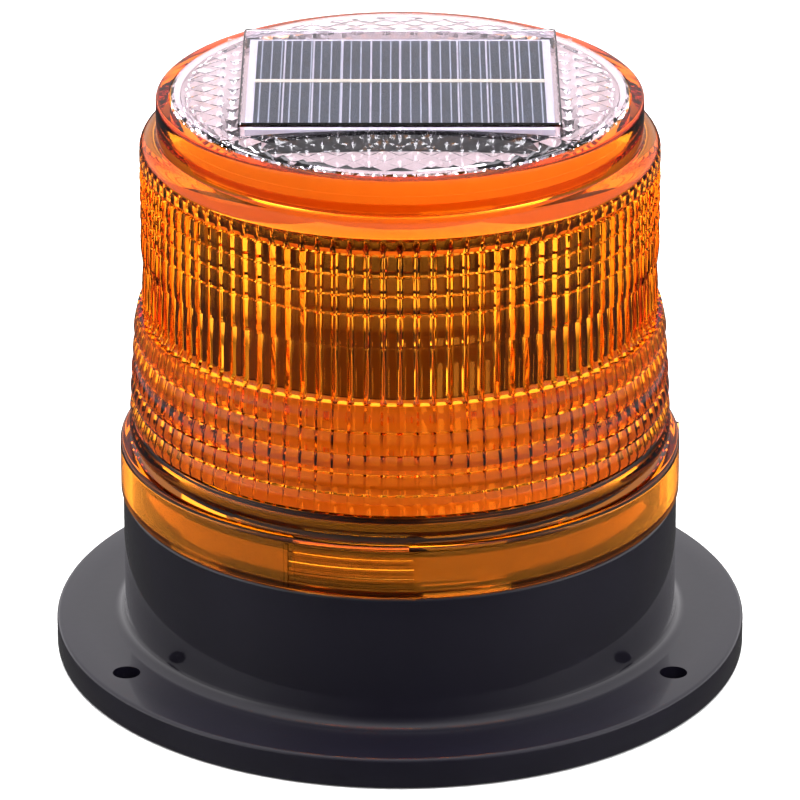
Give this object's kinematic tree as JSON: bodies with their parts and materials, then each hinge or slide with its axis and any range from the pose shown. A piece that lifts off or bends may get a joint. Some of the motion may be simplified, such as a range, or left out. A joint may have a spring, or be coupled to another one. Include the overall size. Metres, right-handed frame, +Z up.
{
  "type": "barricade warning light",
  "caption": "Solar barricade warning light: amber prismatic beacon that turns and lifts off a round bolt-down base, lit from inside by a ring of lamps.",
  "frame": {"origin": "centre of the underside of the base flange", "axes": "+Z up along the beacon's axis; -Y is the front, with the solar cells' busbar running along X; one bolt hole lies on +Y"},
  "size_m": [0.14, 0.14, 0.1218],
  "materials": {
    "base_abs": "gloss moulded black ABS",
    "seal_rubber": "black nitrile rubber",
    "lens_polycarbonate": "clear amber polycarbonate",
    "cap_polycarbonate": "clear polycarbonate",
    "panel_laminate": "white-edged glass-epoxy laminate",
    "silicon": "blue-grey silicon under resin",
    "tinned_copper": "tinned ribbon",
    "foam": "closed-cell foam",
    "carrier_plastic": "white moulded ABS",
    "canister_abs": "matt black ABS",
    "label_film": "blank grey-brown label film",
    "circuit_board": "green solder resist",
    "chip_epoxy": "moulded epoxy",
    "ferrite": "ferrite",
    "capacitor_sleeve": "blue sleeve",
    "screw_steel": "zinc-plated steel",
    "battery_sleeve": "shrink sleeve",
    "holder_plastic": "black nylon",
    "contact_steel": "nickel-plated spring steel",
    "white_abs": "white ABS",
    "led_resin": "phosphor resin",
    "switch_plastic": "black nylon",
    "wire_red": "PVC insulation",
    "wire_blue": "PVC insulation"
  },
  "bodies": {
    "base": {"base_housing": "base_abs"},
    "seal": {"lens_seal": "seal_rubber"},
    "head": {"lens": "lens_polycarbonate", "clear_cap": "cap_polycarbonate", "panel_board": "panel_laminate", "solar_cells": "silicon", "cell_busbar": "tinned_copper", "panel_pad": "foam", "panel_carrier": "carrier_plastic", "canister": "canister_abs", "canister_label": "label_film", "controller_board": "circuit_board", "controller_chips": "chip_epoxy", "inductor": "ferrite", "capacitor": "capacitor_sleeve", "board_screws": "screw_steel", "battery_cell": "battery_sleeve", "battery_holder": "holder_plastic", "battery_spring": "contact_steel", "battery_contact": "contact_steel", "led_drum": "white_abs", "led_board": "white_abs", "led_chips": "led_resin", "reflector": "white_abs", "plate_gasket": "foam", "head_plate": "canister_abs", "tie_screws": "screw_steel", "switch_body": "switch_plastic", "panel_leads": "wire_red", "battery_leads": "wire_red", "led_leads": "wire_blue", "switch_leads": "wire_blue"},
    "switch": {"switch_slider": "white_abs"}
  },
  "joints": [
    {"name": "lens_rise", "type": "slide", "parent": "base", "child": "seal", "axis": [0, 0, 1], "range_m": [0, 0.00252]},
    {"name": "lens_turn", "type": "hinge", "parent": "seal", "child": "head", "pos_m": [0, 0, 0], "axis": [0, 0, 1], "range_deg": [0, 30]},
    {"name": "switch_slide", "type": "slide", "parent": "head", "child": "switch", "axis": [1, 0, 0], "range_m": [0, 0.004]}
  ],
  "couplings": [
    {"joint": "lens_rise", "follows": "lens_turn", "m_per_rad": 0.0047746}
  ]
}
